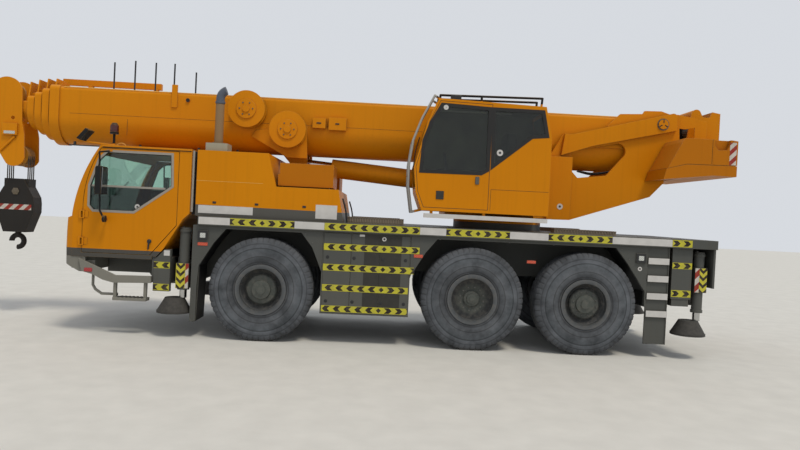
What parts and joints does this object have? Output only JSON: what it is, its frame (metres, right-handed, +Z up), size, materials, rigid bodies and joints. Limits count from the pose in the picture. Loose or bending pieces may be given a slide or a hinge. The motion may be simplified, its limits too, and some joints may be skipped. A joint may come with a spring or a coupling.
{
  "type": "mobile crane",
  "caption": "Three-axle road-going mobile crane with a driver's cab, a slewing superstructure with crane cab, a telescopic boom, outriggers and a hook block.",
  "frame": {"origin": "middle of the overall box on the ground", "axes": "+X forward, +Y to the crane's left, +Z up"},
  "size_m": [11.63, 3.16, 4.0909],
  "materials": {
    "tyre": "matte",
    "rim_grey": "satin",
    "frame_grey": "satin",
    "crane_yellow": "gloss",
    "glass": "gloss",
    "cab_trim": "matte",
    "steel": "polished",
    "stack_steel": "satin",
    "casting": "matte",
    "rope": "matte",
    "seat_cloth": "matte"
  },
  "bodies": {
    "carrier": {"chassis_frame": "frame_grey", "axle_beams": "casting", "engine_block": "casting", "engine_hood": "crane_yellow", "exhaust_stack": "stack_steel", "deck": "frame_grey", "side_lockers": "frame_grey", "fenders": "frame_grey", "deck_ballast": "crane_yellow", "driver_cab_shell": "crane_yellow", "driver_cab_glass": "glass", "driver_cab_interior": "cab_trim", "bumper_steps": "frame_grey"},
    "knuckle_front_left": {"knuckle_front_left": "rim_grey"},
    "wheel_front_left": {"wheel_front_left_tyre": "tyre", "wheel_front_left_rim": "rim_grey"},
    "knuckle_front_right": {"knuckle_front_right": "rim_grey"},
    "wheel_front_right": {"wheel_front_right_tyre": "tyre", "wheel_front_right_rim": "rim_grey"},
    "knuckle_mid_left": {"knuckle_mid_left": "rim_grey"},
    "wheel_mid_left": {"wheel_mid_left_tyre": "tyre", "wheel_mid_left_rim": "rim_grey"},
    "knuckle_mid_right": {"knuckle_mid_right": "rim_grey"},
    "wheel_mid_right": {"wheel_mid_right_tyre": "tyre", "wheel_mid_right_rim": "rim_grey"},
    "knuckle_rear_left": {"knuckle_rear_left": "rim_grey"},
    "wheel_rear_left": {"wheel_rear_left_tyre": "tyre", "wheel_rear_left_rim": "rim_grey"},
    "knuckle_rear_right": {"knuckle_rear_right": "rim_grey"},
    "wheel_rear_right": {"wheel_rear_right_tyre": "tyre", "wheel_rear_right_rim": "rim_grey"},
    "beam_front_left": {"outrigger_beam_front_left": "frame_grey"},
    "jack_front_left": {"outrigger_jack_front_left": "frame_grey"},
    "beam_front_right": {"outrigger_beam_front_right": "frame_grey"},
    "jack_front_right": {"outrigger_jack_front_right": "frame_grey"},
    "beam_rear_left": {"outrigger_beam_rear_left": "frame_grey"},
    "jack_rear_left": {"outrigger_jack_rear_left": "frame_grey"},
    "beam_rear_right": {"outrigger_beam_rear_right": "frame_grey"},
    "jack_rear_right": {"outrigger_jack_rear_right": "frame_grey"},
    "door_left": {"door_left": "crane_yellow", "door_glass_left": "glass"},
    "door_right": {"door_right": "crane_yellow", "door_glass_right": "glass"},
    "superstructure": {"superstructure_frame": "crane_yellow", "tail_ballast": "crane_yellow", "crane_cab_shell": "crane_yellow", "crane_cab_glass": "glass", "crane_cab_seat": "seat_cloth"},
    "winch": {"winch_drum": "frame_grey"},
    "boom": {"boom_base": "crane_yellow", "boom_rods": "frame_grey"},
    "section_1": {"boom_section_1": "crane_yellow"},
    "section_2": {"boom_section_2": "crane_yellow"},
    "section_3": {"boom_section_3": "crane_yellow"},
    "section_4": {"boom_section_4": "crane_yellow", "head_sheaves": "casting"},
    "luff_barrel": {"luffing_cylinder_barrel": "crane_yellow"},
    "luff_rod": {"luffing_cylinder_rod": "steel"},
    "rope_hang": {"hoist_ropes": "rope"},
    "hook": {"hook_block": "casting"}
  },
  "joints": [
    {"name": "steer_front_left", "type": "hinge", "parent": "carrier", "child": "knuckle_front_left", "pos_m": [1.2, 0.93, 0.74], "axis": [0, 0, 1], "range_deg": [-32, 32]},
    {"name": "spin_front_left", "type": "hinge", "parent": "knuckle_front_left", "child": "wheel_front_left", "pos_m": [1.2, 1.09, 0.74], "axis": [0, 1, 0], "continuous": true},
    {"name": "steer_front_right", "type": "hinge", "parent": "carrier", "child": "knuckle_front_right", "pos_m": [1.2, -0.93, 0.74], "axis": [0, 0, 1], "range_deg": [-32, 32]},
    {"name": "spin_front_right", "type": "hinge", "parent": "knuckle_front_right", "child": "wheel_front_right", "pos_m": [1.2, -1.09, 0.74], "axis": [0, 1, 0], "continuous": true},
    {"name": "steer_mid_left", "type": "hinge", "parent": "carrier", "child": "knuckle_mid_left", "pos_m": [-1.83, 0.93, 0.74], "axis": [0, 0, 1], "range_deg": [-14, 14]},
    {"name": "spin_mid_left", "type": "hinge", "parent": "knuckle_mid_left", "child": "wheel_mid_left", "pos_m": [-1.83, 1.09, 0.74], "axis": [0, 1, 0], "continuous": true},
    {"name": "steer_mid_right", "type": "hinge", "parent": "carrier", "child": "knuckle_mid_right", "pos_m": [-1.83, -0.93, 0.74], "axis": [0, 0, 1], "range_deg": [-14, 14]},
    {"name": "spin_mid_right", "type": "hinge", "parent": "knuckle_mid_right", "child": "wheel_mid_right", "pos_m": [-1.83, -1.09, 0.74], "axis": [0, 1, 0], "continuous": true},
    {"name": "steer_rear_left", "type": "hinge", "parent": "carrier", "child": "knuckle_rear_left", "pos_m": [-3.48, 0.93, 0.74], "axis": [0, 0, 1], "range_deg": [-22, 22]},
    {"name": "spin_rear_left", "type": "hinge", "parent": "knuckle_rear_left", "child": "wheel_rear_left", "pos_m": [-3.48, 1.09, 0.74], "axis": [0, 1, 0], "continuous": true},
    {"name": "steer_rear_right", "type": "hinge", "parent": "carrier", "child": "knuckle_rear_right", "pos_m": [-3.48, -0.93, 0.74], "axis": [0, 0, 1], "range_deg": [-22, 22]},
    {"name": "spin_rear_right", "type": "hinge", "parent": "knuckle_rear_right", "child": "wheel_rear_right", "pos_m": [-3.48, -1.09, 0.74], "axis": [0, 1, 0], "continuous": true},
    {"name": "beam_front_left_slide", "type": "slide", "parent": "carrier", "child": "beam_front_left", "axis": [0, 1, 0], "range_m": [0, 1.5]},
    {"name": "jack_front_left_slide", "type": "slide", "parent": "beam_front_left", "child": "jack_front_left", "axis": [0, 0, -1], "range_m": [0, 0.55]},
    {"name": "beam_front_right_slide", "type": "slide", "parent": "carrier", "child": "beam_front_right", "axis": [0, -1, 0], "range_m": [0, 1.5]},
    {"name": "jack_front_right_slide", "type": "slide", "parent": "beam_front_right", "child": "jack_front_right", "axis": [0, 0, -1], "range_m": [0, 0.55]},
    {"name": "beam_rear_left_slide", "type": "slide", "parent": "carrier", "child": "beam_rear_left", "axis": [0, 1, 0], "range_m": [0, 1.5]},
    {"name": "jack_rear_left_slide", "type": "slide", "parent": "beam_rear_left", "child": "jack_rear_left", "axis": [0, 0, -1], "range_m": [0, 0.55]},
    {"name": "beam_rear_right_slide", "type": "slide", "parent": "carrier", "child": "beam_rear_right", "axis": [0, -1, 0], "range_m": [0, 1.5]},
    {"name": "jack_rear_right_slide", "type": "slide", "parent": "beam_rear_right", "child": "jack_rear_right", "axis": [0, 0, -1], "range_m": [0, 0.55]},
    {"name": "door_left_hinge", "type": "hinge", "parent": "carrier", "child": "door_left", "pos_m": [3.736, 1.264, 1.5], "axis": [0, 0, -1], "range_deg": [0, 70]},
    {"name": "door_right_hinge", "type": "hinge", "parent": "carrier", "child": "door_right", "pos_m": [3.736, -1.264, 1.5], "axis": [0, 0, 1], "range_deg": [0, 70]},
    {"name": "slew", "type": "hinge", "parent": "carrier", "child": "superstructure", "pos_m": [-2.35, 0, 1.85], "axis": [0, 0, 1], "continuous": true},
    {"name": "winch_turn", "type": "hinge", "parent": "superstructure", "child": "winch", "pos_m": [-5.56, 0, 3.52], "axis": [0, 1, 0], "continuous": true},
    {"name": "boom_luff", "type": "hinge", "parent": "superstructure", "child": "boom", "pos_m": [-4.78, 0, 3.51], "axis": [0, -1, 0], "range_deg": [0, 82]},
    {"name": "telescope_1", "type": "slide", "parent": "boom", "child": "section_1", "axis": [1, 0, 0], "range_m": [0, 7.45]},
    {"name": "telescope_2", "type": "slide", "parent": "section_1", "child": "section_2", "axis": [1, 0, 0], "range_m": [0, 7.45]},
    {"name": "telescope_3", "type": "slide", "parent": "section_2", "child": "section_3", "axis": [1, 0, 0], "range_m": [0, 7.45]},
    {"name": "telescope_4", "type": "slide", "parent": "section_3", "child": "section_4", "axis": [1, 0, 0], "range_m": [0, 7.45]},
    {"name": "luff_barrel_hinge", "type": "hinge", "parent": "superstructure", "child": "luff_barrel", "pos_m": [-3.7, 0, 2.28], "axis": [0, -1, 0], "range_deg": [-1, 81.66]},
    {"name": "luff_rod_slide", "type": "slide", "parent": "luff_barrel", "child": "luff_rod", "axis": [0.9969, 0, 0.0784], "range_m": [-0.01, 2.154]},
    {"name": "hook_hang", "type": "hinge", "parent": "section_4", "child": "rope_hang", "pos_m": [5.3, 0, 2.545], "axis": [0, -1, 0], "range_deg": [-83, 1]},
    {"name": "hoist", "type": "slide", "parent": "rope_hang", "child": "hook", "axis": [0, 0, -1], "range_m": [0, 1]}
  ],
  "couplings": [
    {"joint": "steer_front_right", "follows": "steer_front_left", "ratio": 1},
    {"joint": "steer_mid_right", "follows": "steer_mid_left", "ratio": 1},
    {"joint": "steer_rear_right", "follows": "steer_rear_left", "ratio": 1},
    {"joint": "telescope_2", "follows": "telescope_1", "ratio": 1},
    {"joint": "telescope_3", "follows": "telescope_1", "ratio": 1},
    {"joint": "telescope_4", "follows": "telescope_1", "ratio": 1},
    {"joint": "luff_barrel_hinge", "follows": "boom_luff", "ratio": 0.98365},
    {"joint": "luff_rod_slide", "follows": "boom_luff", "m_per_rad": 1.4979},
    {"joint": "hook_hang", "follows": "boom_luff", "ratio": -1}
  ]
}
